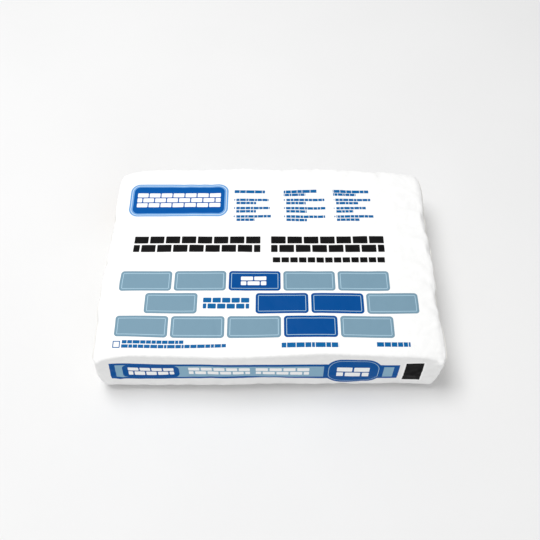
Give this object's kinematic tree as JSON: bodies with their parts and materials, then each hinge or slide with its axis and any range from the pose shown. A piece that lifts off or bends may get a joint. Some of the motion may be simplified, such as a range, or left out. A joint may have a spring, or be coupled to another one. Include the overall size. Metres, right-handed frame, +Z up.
{
  "type": "cement bag",
  "caption": "Filled paper valve sack of cement lying flat, with folded block-bottom ends, pasted end patches and a kraft valve sleeve folded round one corner.",
  "frame": {"origin": "on the floor, under the middle of the bag's footprint", "axes": "+X along the bag's length, +Y from the printed long side to the plain one, +Z up through the printed face"},
  "size_m": [0.6098, 0.4281, 0.124],
  "materials": {
    "printed_paper": "bleached white kraft with a satin printed face",
    "patch_paper": "bleached white kraft, unprinted and matt",
    "kraft_paper": "natural brown kraft, matt"
  },
  "bodies": {
    "root": {"sack": "printed_paper", "end_patch_left": "patch_paper", "end_patch_right": "patch_paper", "valve_sleeve": "kraft_paper"}
  },
  "joints": []
}
